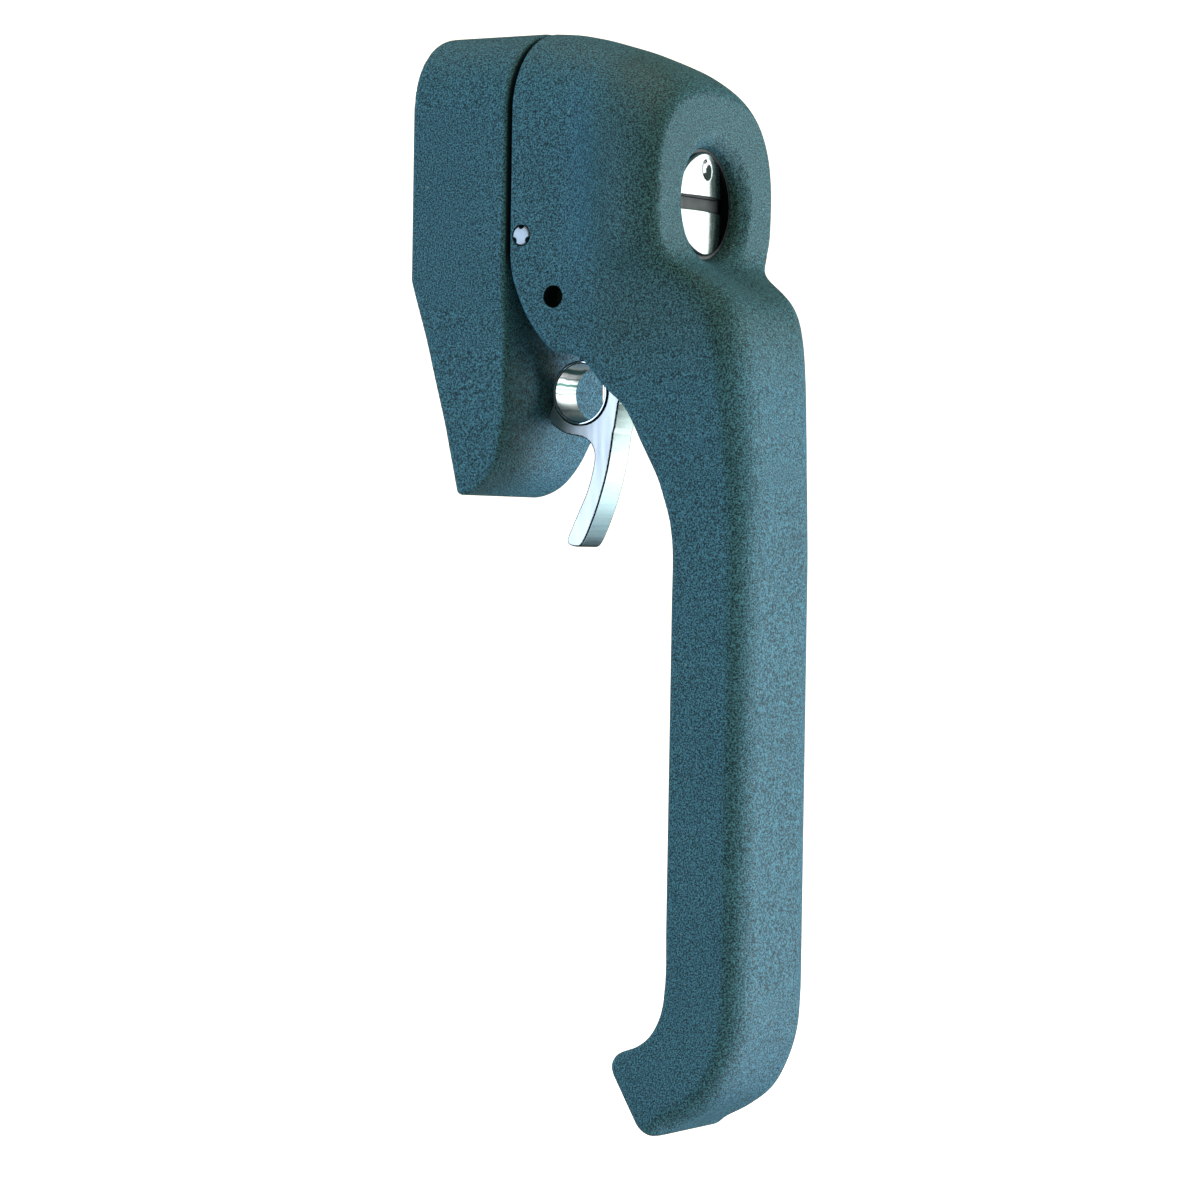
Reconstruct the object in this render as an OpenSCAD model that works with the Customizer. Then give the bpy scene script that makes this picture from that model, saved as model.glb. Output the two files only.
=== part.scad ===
// Lockable turning lever handle with a hook trigger, in millimetres.
// Origin: the turning axis where it meets the back (mounting) face of the base.
// +Z is up along the hanging grip, -Y is the user's side, +Y goes into the door leaf.
// Inside the model, "f" is the distance in front of the parting plane between base and handle.

/* [Base housing] */
// Width of the base housing and of the head where they meet
base_w = 31.6; // [31:0.2:32]
// How far the base stands out beyond the head on each side
base_side = 0.8; // [0.6:0.1:1]
// Depth of the base from its back face to the parting plane
base_d = 20.5; // [20:0.5:24]
// Height of the arch centre above the turning axis
arch_z = 16; // [15.5:0.5:16.5]
// Distance from the turning axis down to the bottom of the base
base_drop = 52.2; // [50.4:0.2:54]
// Wall thickness of the base casting
base_wall = 3; // [2.4:0.2:3.2]
// Running gap between base and handle
part_gap = 0.5; // [0.3:0.1:0.6]

/* [Handle] */
// Width of the grip
grip_w = 26.5; // [24:0.5:27]
// Distance from the parting plane to the grip's finger side
grip_back = 33.2; // [32.6:0.1:33.6]
// Distance from the parting plane to the grip's front face
grip_front = 47.9; // [47.6:0.1:48.5]
// Radius of the round lock boss
boss_r = 22.5; // [21.5:0.5:23]
// Distance from the parting plane to the front of the lock boss
boss_front = 33.6; // [33.3:0.1:34]
// Swing of the handle from hanging down to level
handle_swing = 90; // [90]

/* [Spindle] */
// Radius of the spindle's bearing journal
journal_r = 6.5; // [6.3:0.1:6.6]
// Radius of the hub that sits in the handle
hub_r = 7.8; // [7.5:0.1:7.9]
// Across flats of the square socket for the door's drive shaft
socket_af = 7; // [6:1:7]
// Depth of the square socket
socket_depth = 12; // [8:1:13]

/* [Lock] */
// Radius of the visible face of the lock plug
plug_r = 9.2; // [8:0.1:9.2]
// Radius of the lock bore in the boss
lock_bore_r = 9.8; // [9.4:0.1:10.2]
// Width of the key slot across the plug
slot_w = 2.5; // [2:0.1:3]
// Radius of the lock bolt
bolt_r = 2; // [1.8:0.1:2]
// Distance of the lock bolt from the turning axis
bolt_pitch = 11.6; // [11.4:0.1:11.8]
// How far the bolt comes out when the plug is turned a quarter turn
bolt_throw = 3.6; // [3:0.1:3.6]

/* [Trigger hook] */
// Thickness of the hook plate
hook_t = 6.6; // [6:0.1:7]
// Inner radius of the bush in the eye
eye_r = 5.2; // [5:0.1:5.4]
// Outer radius of the bush in the eye
eye_bush_r = 5.8; // [5.7:0.1:6]
// Radius of the hook's pivot pin
pivot_r = 2; // [1.8:0.1:2]

/* [Mounting] */
// Distance between the mounting screws across the base
mount_x = 19; // [18:0.5:20]
// Distance between the mounting screws along the base
mount_z = 33.5; // [33:0.5:34]
// Radius of the tapped mounting holes
mount_hole_r = 2; // [1.8:0.1:2.2]
// Depth of the tapped mounting holes
mount_depth = 12; // [8:1:13]

/* [Hidden] */
$fn = 64;

coat = [0.20, 0.31, 0.36];
steel = [0.72, 0.74, 0.76];
chrome_c = [0.86, 0.88, 0.90];
bronze = [0.70, 0.55, 0.32];
black = [0.10, 0.10, 0.11];

e = 0.01;
arch_r = base_w / 2;
plate_t = 2;
// front wall of the base, between f = -front_wall and f = -part_gap
front_wall = 4.5;
fit = 0.05;
mount_cz = 24 - mount_z / 2;
boss_post_r = 3.57;
cross_f = 2.6; cross_z = -5.9; cross_r = 1.75;
piv_f = 9.5; piv_z = -16.9;
eye_f = 7.7; eye_z = -33.4;
pin_pitch = 10; pin_r = 1.2; tab_r = 11; tab_half = 10; tab_rest = 45;
peg_f = 16.4;
// torsion spring round the pivot pin, between x = spring_x0 and the pocket's wall
spring_x0 = 5.1; spring_x1 = 8.6;

// ---- placing helpers -------------------------------------------------
// cylinder along Y between two f stations
module fcyl(r, f0, f1, x = 0, z = 0, n = 64)
    translate([x, -(f1 + base_d), z]) rotate([-90, 0, 0]) cylinder(r = r, h = f1 - f0, $fn = n);
// cone along Y: radius ra at f0, rb at f1
module fcone(ra, rb, f0, f1, x = 0, z = 0, n = 64)
    translate([x, -(f1 + base_d), z]) rotate([-90, 0, 0]) cylinder(r1 = rb, r2 = ra, h = f1 - f0, $fn = n);
// cylinder along X
module xcyl(r, x0, x1, f, z, n = 64)
    translate([x0, -(f + base_d), z]) rotate([0, 90, 0]) cylinder(r = r, h = x1 - x0, $fn = n);
// box by its x, f and z limits
module fbox(x0, x1, f0, f1, z0, z1)
    translate([x0, -(f1 + base_d), z0]) cube([x1 - x0, f1 - f0, z1 - z0]);
// flat outline given in [f, z], extruded across X
module side(w) rotate([90, 0, 90]) linear_extrude(w, center = true) mirror([1, 0]) translate([base_d, 0]) children();
// flat outline given in [x, z], extruded from f0 to f1
module front(f0, f1) translate([0, -(f0 + base_d), 0]) rotate([90, 0, 0]) linear_extrude(f1 - f0) children();

module arch2d(r, zb) {
    translate([0, arch_z]) circle(r, $fn = 96);
    translate([-r, zb]) square([2 * r, arch_z - zb]);
}

// ---- base ------------------------------------------------------------
module base_side2d() {
    rb = 9; zb = -base_drop + 0.05;
    polygon(concat(
        [[-base_d, 60], [-base_d, -13.3], [-10.2, -base_drop + 0.6], [-9.4, -base_drop]],
        [for (a = [-84 : 7 : 0]) [-part_gap - rb + rb * cos(a), zb + rb + rb * sin(a)]],
        [[-part_gap, 60]]));
}

module base_shell() intersection() {
    front(-base_d - 5, 5) {
        for (sx = [-1, 1]) translate([sx * base_side, 0]) arch2d(arch_r, -60);
        translate([-base_side, arch_z]) square([2 * base_side, arch_r]);
    }
    side(60) base_side2d();
}

module bosses2d(r) for (sx = [-1, 1], sz = [-1, 1])
    translate([sx * mount_x / 2, mount_cz + sz * mount_z / 2]) circle(r);
module cover_screws2d(r) { translate([0, 27.3]) circle(r); translate([0, -10.9]) circle(r); }

module base_housing() color(coat) difference() {
    base_shell();
    difference() {
        // mechanism pocket, open at the back, with a rebate for the back plate
        union() {
            front(-base_d - 1, -front_wall) arch2d(arch_r - base_wall, -12.2);
            front(-base_d - 1, -base_d + plate_t) arch2d(arch_r - base_wall + 1, -12.7);
        }
        front(-base_d - 2, -front_wall + 1) bosses2d(boss_post_r);
        front(-base_d + plate_t, -front_wall + 1) cover_screws2d(2.1);
    }
    // tapped mounting holes, blind from the back
    for (sx = [-1, 1], sz = [-1, 1])
        fcyl(mount_hole_r, -base_d - 1, -base_d + mount_depth, sx * mount_x / 2, mount_cz + sz * mount_z / 2, 48);
    // holes for the back plate's screws
    for (z = [27.3, -10.9]) fcyl(1.0, -base_d - 1, -base_d + 9.5, 0, z, 32);
    // bearing seat
    fcyl(8.5, -front_wall - 1, 1);
    // seats for the stop pins
    for (a = [tab_rest - 20, tab_rest + handle_swing + 20])
        fcyl(pin_r, -front_wall - 1, -1.5, pin_pitch * cos(a), pin_pitch * sin(a), 32);
    // keeper holes for the lock bolt, handle down and handle level
    for (a = [90, 90 + handle_swing])
        fcyl(bolt_r + 0.3, -front_wall - 1, 1, bolt_pitch * cos(a), bolt_pitch * sin(a), 32);
    // lightening pocket in the lower half, from the sloping back
    side(17) polygon([[-26, -18.5], [-6.2, -18.5], [-5.2, -21], [-5.2, -40], [-7, -43], [-26, -43]]);
}

module back_plate() color(steel) difference() {
    front(-base_d, -base_d + plate_t) arch2d(arch_r - base_wall + 0.9, -12.6);
    for (sx = [-1, 1], sz = [-1, 1])
        fcyl(boss_post_r + 0.2, -base_d - 1, -base_d + plate_t + 1, sx * mount_x / 2, mount_cz + sz * mount_z / 2);
    for (z = [27.3, -10.9]) {
        fcyl(1.1, -base_d - 1, -base_d + plate_t + 1, 0, z, 32);
        fcone(2.1, 1.1, -base_d, -base_d + 1.1, 0, z, 32);
    }
    fcyl(8, -base_d - 1, -base_d + plate_t + 1);
}

module back_plate_screws() color(steel) for (z = [27.3, -10.9]) difference() {
    union() {
        fcone(2.0, 1.0, -base_d, -base_d + 1.05, 0, z, 32);
        fcyl(0.97, -base_d + 1, -base_d + 8, 0, z, 32);
    }
    for (a = [0, 90]) translate([0, -(-base_d + base_d), z]) rotate([0, a, 0])
        translate([-1.1, -0.6, -0.2]) cube([2.2, 1.2, 0.4]);
}

module front_bush() color(bronze) difference() {
    fcyl(8.5, -front_wall, -part_gap - 0.15);
    fcyl(journal_r + fit, -front_wall - 1, 1);
}

module rear_bush() color(bronze) difference() {
    union() {
        fcyl(8, -base_d + 0.1, -base_d + plate_t);
        fcyl(8.6, -base_d + plate_t, -base_d + plate_t + 1.2);
    }
    fcyl(journal_r + fit, -base_d - 1, -base_d + plate_t + 2);
}

module spindle_seal() color(black) translate([0, -(-front_wall - 1.05 + base_d), 0]) rotate([-90, 0, 0])
    rotate_extrude() translate([journal_r + 0.97, 0]) circle(0.9, $fn = 32);

module thrust_washer() color(bronze) difference() {
    fcyl(8.3, -0.6, -0.08);
    fcyl(journal_r + 0.1, -1, 1);
}

module stop_pins() color(steel) for (a = [tab_rest - 20, tab_rest + handle_swing + 20])
    fcyl(pin_r, -10.2, -1.5, pin_pitch * cos(a), pin_pitch * sin(a), 32);

// ---- handle ----------------------------------------------------------
// side outline of the whole handle, [f, z]
module handle_side2d() polygon([
    [0, 31.7], [5.5, 31.3], [11, 30.5], [19.3, 28], [26.6, 25.1], [30, 23.2], [32, 21.4], [33, 18.8], [boss_front, 15],
    [boss_front, -7.8], [34.5, -10.4], [36.1, -12.1], [38, -13.5], [40.4, -15.1], [42.8, -17.1], [44.6, -19.8], [45.8, -23.6],
    [46.8, -31], [47.5, -40], [grip_front, -50], [grip_front, -141], [47.1, -147], [45.3, -152.4], [42.3, -157.3], [38, -160.7],
    [33.6, -163.1], [31, -164.8], [29.6, -164.7], [28.5, -163.7], [22.5, -153.9], [22.3, -152.4], [23.5, -151],
    [27.1, -149.4], [30.1, -146.8], [32.2, -142.9], [grip_back, -137], [grip_back, -61], [32.5, -56.3],
    [31.4, -52.7], [30.2, -49.3], [28.4, -45.7], [26.6, -42.3], [25.1, -39.1], [23.3, -36.2], [20.9, -34.1], [18.9, -32.2],
    [17, -29.9], [15.4, -28.3], [13.6, -27.3], [11.5, -26.8], [9.2, -26.6], [7.7, -25.4], [5.6, -23], [3.6, -20.1], [1.9, -16.7], [0.6, -13.2], [0, -9.5]]);

module rounded_bar2d(w, f0, f1, r) {
    translate([-w / 2 + r, -f1]) square([w - 2 * r, f1 - f0]);
    translate([-w / 2, -f1 + r]) square([w, f1 - f0 - 2 * r]);
    for (sx = [-1, 1], f = [f0 + r, f1 - r]) translate([sx * (w / 2 - r), -f]) circle(r, $fn = 32);
}

module handle_width_env() {
    // flared head: arch at the parting plane growing into the round lock boss
    hull() {
        front(0, 9) arch2d(arch_r, -10);
        fcyl(16, 24, 26, 0, 9.3);
        fcyl(15, 29, 31, 0, 7.6);
        fcyl(boss_r, 25.5, boss_front - 6);
        fcyl(boss_r - 1.5, 28, boss_front - 2.6);
        fcyl(boss_r - 4.5, 30, boss_front - 0.7);
        fcyl(boss_r - 7, 30, boss_front);
    }
    // neck: full width at the head, grip width below
    hull() {
        front(0, boss_front) translate([-base_w / 2, -22]) square([base_w, 16]);
        translate([0, -base_d, -23]) linear_extrude(1) rounded_bar2d(grip_w + 3, 10, 45.5, 4);
        translate([0, -base_d, -34]) linear_extrude(1) rounded_bar2d(grip_w + 1.6, 15, grip_front, 2.5);
        translate([0, -base_d, -61]) linear_extrude(1) rounded_bar2d(grip_w, 15, grip_front, 2.5);
    }
    // grip
    translate([0, -base_d, -170]) linear_extrude(110) rounded_bar2d(grip_w, 15, grip_front, 2.5);
}

module handle_body() color(coat) difference() {
    intersection() {
        side(60) handle_side2d();
        handle_width_env();
    }
    // socket for the spindle hub
    fcyl(hub_r, -1, 8);
    // cross pin hole
    xcyl(cross_r, -30, 30, cross_f, cross_z, 32);
    // cavity for the cam, then the lock bore and its wider mouth
    fcyl(7, 9.3, 19.5);
    fcyl(lock_bore_r, 19, boss_front + 1);
    // dished face round the mouth of the lock
    fcone(lock_bore_r, 11.4, boss_front - 1.5, boss_front + 0.1);
    // guide for the lock bolt and the way of its peg
    fcyl(bolt_r + fit, -1, 22, 0, bolt_pitch, 48);
    fbox(-1.35, 1.35, -1, 19, 0, bolt_pitch);
    // trigger pocket, open below and behind the neck, wider on the spring's side
    hull() {
        xcyl(7.2, -5.2, spring_x1, piv_f, piv_z, 48);
        fbox(-5.2, spring_x1, 1, 22, -36, -30);
    }
    // room for the hook's swing in front of the pocket
    hull() {
        fbox(-4, 4, 8, 20.4, -26, -22);
        fbox(-4, 4, 8, 24.5, -40, -34);
    }
    // pivot pin hole
    xcyl(pivot_r, -30, 30, piv_f, piv_z, 48);
}

module spindle() color(steel) difference() {
    union() {
        fcyl(hub_r, 0, 7.6);
        fcyl(journal_r, -base_d + 0.3, 0.1);
    }
    xcyl(cross_r, -30, 30, cross_f, cross_z, 32);
    // groove of the retaining ring
    difference() { fcyl(9, -11.65, -10.45); fcyl(5.7, -12, -10); }
    // square socket, open at the back
    fbox(-socket_af / 2, socket_af / 2, -base_d - 1, -base_d + 0.3 + socket_depth, -socket_af / 2, socket_af / 2);
}

module handle_cross_pin() color(chrome_c) difference() {
    xcyl(cross_r, -base_w / 2 - 0.1, base_w / 2 + 0.1, cross_f, cross_z, 32);
    // three grooves rolled into both ends
    for (a = [90, 210, 330], s = [-1, 1])
        xcyl(0.35, s * 14 - 1.6, s * 14 + 1.6, cross_f + 1.75 * cos(a), cross_z + 1.75 * sin(a), 16);
}

module stop_disc() color(steel) difference() {
    union() {
        fcyl(8.4, -9.5, -7);
        intersection() {
            fcyl(tab_r, -9.5, -7);
            front(-9.5, -7) polygon([[0, 0], [14 * cos(tab_rest - tab_half), 14 * sin(tab_rest - tab_half)],
                                     [14 * cos(tab_rest + tab_half), 14 * sin(tab_rest + tab_half)]]);
        }
    }
    fcyl(journal_r, -12, 0);
}

module wave_washer() color(steel) difference() {
    fcyl(8.3, -10.35, -9.6);
    fcyl(journal_r + 0.1, -12, 0);
}

module retaining_ring() color(steel) difference() {
    fcyl(8.3, -11.5, -10.5, 0, 0);
    fcyl(5.72, -13, 0);
    front(-13, 0) polygon([[0, 0], [3.2, 12], [-3.2, 12]]);
}

// ---- lock ------------------------------------------------------------
module lock_sleeve() color(black) difference() {
    fcyl(lock_bore_r, 19.5, 30.7);
    fcyl(plug_r + fit, 27.8, 32);
    fcyl(6.05, 15, 32);
}

module lock_plug() color(chrome_c) difference() {
    union() {
        fcyl(plug_r, 28, 30.8);
        // slightly domed face
        intersection() {
            fcyl(plug_r, 30.7, 33.5);
            translate([0, -(31.5 - 52 + base_d), 0]) sphere(52, $fn = 128);
        }
        fcyl(6, 19, 28.1);
        fcyl(3, 10.4, 19.1);
    }
    // key slot
    fbox(-12, 12, 28.9, 34, -slot_w / 2, slot_w / 2);
    // index dimple
    translate([0, -(32.7 + base_d), 6.1]) sphere(2, $fn = 48);
    // thread for the cam screw
    fcyl(1.2, 9, 15, 0, 0, 32);
    // drive flat
    fbox(-4, 4, 9, 18.6, 2.3, 4);
}

module lock_cam() color(steel) difference() {
    fcyl(6.4, 10.4, 18.6);
    difference() {
        fcyl(3, 9, 20);
        fbox(-4, 4, 8, 21, 2.3, 4);
    }
    // spiral slot that drives the bolt's peg over a quarter turn
    for (i = [0 : 18]) {
        a = 90 + i * 5;
        ff = peg_f - bolt_throw * i / 18;
        translate([0, -(ff + base_d), 0]) rotate([0, 90 - a, 0]) translate([0, 0, 4.4]) cylinder(r = 1.4, h = 4, $fn = 32);
    }
}

module lock_cam_screw() color(steel) difference() {
    union() {
        fcyl(2.6, 9.5, 10.4, 0, 0, 48);
        fcyl(1.2, 10.3, 14.6, 0, 0, 32);
    }
    fbox(-3, 3, 9, 9.85, -0.3, 0.3);
}

module lock_bolt() color(steel) union() {
    fcyl(bolt_r, 0.9, 18, 0, bolt_pitch, 48);
    fcone(bolt_r - 0.5, bolt_r, 0.4, 0.9, 0, bolt_pitch, 48);
    translate([0, -(peg_f + base_d), 4.9]) cylinder(r = 1.1, h = bolt_pitch - 4.9, $fn = 32);
}

// ---- trigger ---------------------------------------------------------
module trigger_hook() color(chrome_c) difference() {
    union() {
        // hub on the pivot
        xcyl(5, -hook_t / 2, hook_t / 2, piv_f, piv_z);
        // cheek from the hub down past the eye
        side(hook_t) polygon([[6, -18.4], [13.4, -16.2], [17.6, -25], [17.9, -30], [16.8, -33.4], [15.5, -34.8],
                              [14.4, -39.6], [11.6, -41.2], [9.2, -36.6], [5, -27.4]]);
        // back prong, cradle and tail
        side(hook_t) polygon([[0.8, -37.5], [1.6, -39], [3.4, -40.2], [5.2, -40.9], [8.2, -41.4], [9.6, -42.2],
                 [10.5, -43.4], [10.8, -44.6], [10.4, -47.3], [9.3, -51.1], [7.6, -54.7], [6.1, -58], [5.3, -59.9],
                 [5.4, -60.6], [6.1, -60.9], [7.9, -61.1], [8.7, -60.4], [11.1, -55.2], [12.6, -51.1], [13.4, -48.1],
                 [14.2, -44.8], [14.7, -40.1], [15, -36.5], [14.6, -35.4], [2.6, -34.8]]);
    }
    xcyl(pivot_r + fit, -10, 10, piv_f, piv_z, 48);
    xcyl(eye_bush_r, -10, 10, eye_f, eye_z, 64);
}

module eye_bush() color(chrome_c) difference() {
    xcyl(eye_bush_r, -hook_t / 2 - 0.3, hook_t / 2 + 0.3, eye_f, eye_z, 64);
    xcyl(eye_r, -10, 10, eye_f, eye_z, 64);
}

module trigger_pivot_pin() color(steel) xcyl(pivot_r, -11.5, 11.5, piv_f, piv_z, 48);

module trigger_washers() color(steel) for (x = [[-5.1, -3.5], [3.5, 4.5]]) difference() {
    xcyl(4.4, x[0], x[1], piv_f, piv_z, 48);
    xcyl(pivot_r + 0.1, -10, 10, piv_f, piv_z, 48);
}

// torsion spring: coils round the pivot pin, one leg along the hook, one against the neck
spring_r = 3; wire_r = 0.33; spring_turns = 3.75; leg_hook = 7.5; leg_neck = 5.5;
module trigger_spring() color(steel) {
    n = 90; m = 6;
    // stations along the wire: [x, f, z, angle]
    path = concat(
        [[spring_x0, piv_f + spring_r, piv_z - leg_hook, 0]],
        [for (i = [0 : n]) let (t = i / n, a = 360 * spring_turns * t)
            [spring_x0 + 2.9 * t, piv_f + spring_r * cos(a), piv_z + spring_r * sin(a), a]],
        [[spring_x0 + 2.9, piv_f + leg_neck, piv_z - spring_r, 360 * spring_turns]]);
    k = len(path);
    pts = [for (p = path, j = [0 : m - 1]) let (b = 360 * j / m)
        [p[0] + wire_r * sin(b), -(p[1] + wire_r * cos(b) * cos(p[3]) + base_d), p[2] + wire_r * cos(b) * sin(p[3])]];
    faces = concat([[for (j = [0 : m - 1]) j]], [[for (j = [m - 1 : -1 : 0]) (k - 1) * m + j]],
        [for (i = [0 : k - 2], j = [0 : m - 1])
            [i * m + j, (i + 1) * m + j, (i + 1) * m + (j + 1) % m, i * m + (j + 1) % m]]);
    polyhedron(pts, faces, convexity = 10);
}

base_housing();
back_plate();
back_plate_screws();
front_bush();
rear_bush();
spindle_seal();
thrust_washer();
stop_pins();
handle_body();
spindle();
handle_cross_pin();
stop_disc();
wave_washer();
retaining_ring();
lock_sleeve();
lock_plug();
lock_cam();
lock_cam_screw();
lock_bolt();
trigger_hook();
eye_bush();
trigger_pivot_pin();
trigger_washers();
trigger_spring();
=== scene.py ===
import math
import bpy
import numpy as np
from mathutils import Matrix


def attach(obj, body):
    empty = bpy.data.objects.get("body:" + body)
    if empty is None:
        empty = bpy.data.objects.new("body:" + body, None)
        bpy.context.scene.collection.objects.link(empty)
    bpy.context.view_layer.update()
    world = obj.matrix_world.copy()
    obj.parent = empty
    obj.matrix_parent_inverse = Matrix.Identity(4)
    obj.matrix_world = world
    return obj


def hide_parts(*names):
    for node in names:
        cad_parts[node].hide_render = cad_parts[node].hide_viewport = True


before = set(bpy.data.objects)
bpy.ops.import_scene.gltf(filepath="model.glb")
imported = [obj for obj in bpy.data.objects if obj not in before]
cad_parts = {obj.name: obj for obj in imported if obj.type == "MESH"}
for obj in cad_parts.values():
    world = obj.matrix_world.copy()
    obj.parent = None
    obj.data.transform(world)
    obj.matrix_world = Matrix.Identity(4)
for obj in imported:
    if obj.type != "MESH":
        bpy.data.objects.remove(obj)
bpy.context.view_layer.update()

import openvdb as vdb
from mathutils import Matrix, Vector

MM = 0.001
BD = 20.5          # depth of the base: f (distance in front of the parting plane) = -y - BD, in mm


# ---------------------------------------------------------------- field tools
def sstep(a, b, t):
    u = np.clip((t - a) / (b - a), 0.0, 1.0)
    return u * u * (3.0 - 2.0 * u)


def lerp(a, b, t):
    return a + (b - a) * t


def round_int(a, b, r):
    """Intersection of two signed distances with its edge rounded to radius r."""
    u, v = a + r, b + r
    return np.minimum(np.maximum(u, v), 0.0) + np.hypot(np.maximum(u, 0.0), np.maximum(v, 0.0)) - r


def round_uni(a, b, r):
    return -round_int(-a, -b, r)


def box_f(p, lo, hi):
    return np.maximum(lo - p, p - hi)


def blur_1d(a, s, axis):
    n = int(math.ceil(3 * s))
    k = np.exp(-0.5 * (np.arange(-n, n + 1) / s) ** 2)
    k /= k.sum()
    pad = [(0, 0)] * a.ndim
    pad[axis] = (n, n)
    b = np.pad(a, pad, mode="edge")
    out = np.zeros_like(a)
    for i, w in enumerate(k):
        sl = [slice(None)] * a.ndim
        sl[axis] = slice(i, i + a.shape[axis])
        out += w * b[tuple(sl)]
    return out


def curve_table(pts, sigma, lo, hi, step=0.25):
    """Smoothed table of a 1-D function given by a few points; returns a function."""
    t = np.arange(lo, hi, step)
    v = np.interp(t, [p[0] for p in pts], [p[1] for p in pts])
    v = blur_1d(v, sigma / step, 0)
    return lambda q: np.interp(q, t, v)


def catmull(chain, step=0.8):
    """Open centripetal Catmull-Rom curve through a chain of 2-D points."""
    P = [np.array(p, float) for p in chain]
    P = [2 * P[0] - P[1]] + P + [2 * P[-1] - P[-2]]
    out = []
    for i in range(1, len(P) - 2):
        p0, p1, p2, p3 = P[i - 1:i + 3]
        t0 = 0.0
        t1 = t0 + max(np.linalg.norm(p1 - p0), 1e-6) ** 0.5
        t2 = t1 + max(np.linalg.norm(p2 - p1), 1e-6) ** 0.5
        t3 = t2 + max(np.linalg.norm(p3 - p2), 1e-6) ** 0.5
        n = max(1, int(np.linalg.norm(p2 - p1) / step)) if np.linalg.norm(p2 - p1) < 12 else 6
        for k in range(n):
            t = t1 + (t2 - t1) * k / n
            a1 = (t1 - t) / (t1 - t0) * p0 + (t - t0) / (t1 - t0) * p1
            a2 = (t2 - t) / (t2 - t1) * p1 + (t - t1) / (t2 - t1) * p2
            a3 = (t3 - t) / (t3 - t2) * p2 + (t - t2) / (t3 - t2) * p3
            b1 = (t2 - t) / (t2 - t0) * a1 + (t - t0) / (t2 - t0) * a2
            b2 = (t3 - t) / (t3 - t1) * a2 + (t - t1) / (t3 - t1) * a3
            out.append((t2 - t) / (t2 - t1) * b1 + (t - t1) / (t2 - t1) * b2)
    out.append(P[-2])
    return out


def poly_sdf(px, pz, poly):
    P = np.array(poly, float)
    px, pz = np.broadcast_arrays(px, pz)
    d = np.full(px.shape, 1e9)
    inside = np.zeros(px.shape, bool)
    for i in range(len(P)):
        a, b = P[i], P[(i + 1) % len(P)]
        ex, ez = b - a
        ll = ex * ex + ez * ez
        if ll < 1e-12:
            continue
        wx, wz = px - a[0], pz - a[1]
        t = np.clip((wx * ex + wz * ez) / ll, 0, 1)
        d = np.minimum(d, (wx - ex * t) ** 2 + (wz - ez * t) ** 2)
        if abs(ez) > 1e-12:
            cross = (a[1] > pz) != (b[1] > pz)
            inside ^= cross & (px < a[0] + (pz - a[1]) * ex / ez)
    return np.where(inside, -1.0, 1.0) * np.sqrt(d)


def chain_gap(px, pz, chains):
    """Distance to the first open chain less the distance to the second."""
    px, pz = np.broadcast_arrays(px, pz)
    out = []
    for ch in chains:
        P = np.array(ch, float)
        d = np.full(px.shape, 1e9)
        for a, b in zip(P[:-1], P[1:]):
            ex, ez = b - a
            ll = max(ex * ex + ez * ez, 1e-9)
            wx, wz = px - a[0], pz - a[1]
            t = np.clip((wx * ex + wz * ez) / ll, 0, 1)
            d = np.minimum(d, (wx - ex * t) ** 2 + (wz - ez * t) ** 2)
        out.append(np.sqrt(d))
    return out[0] - out[1]


class Table2D:
    """Signed distance to a polygon in (f, z), tabulated, lightly smoothed, and sampled bilinearly."""
    def __init__(self, poly, lo, hi, h=0.2, sigma=0.5, fn=None):
        self.lo, self.h = np.array(lo, float), h
        a = np.arange(lo[0], hi[0], h)
        b = np.arange(lo[1], hi[1], h)
        t = (fn or poly_sdf)(a[:, None], b[None, :], poly)
        if sigma:
            t = blur_1d(blur_1d(t, sigma / h, 0), sigma / h, 1)
        self.t = t

    def __call__(self, f, z):
        f, z = np.broadcast_arrays(f, z)
        u = np.clip((f - self.lo[0]) / self.h, 0, self.t.shape[0] - 1.001)
        v = np.clip((z - self.lo[1]) / self.h, 0, self.t.shape[1] - 1.001)
        i, j = u.astype(int), v.astype(int)
        u, v = u - i, v - j
        t = self.t
        return ((t[i, j] * (1 - u) + t[i + 1, j] * u) * (1 - v)
                + (t[i, j + 1] * (1 - u) + t[i + 1, j + 1] * u) * v)


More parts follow.
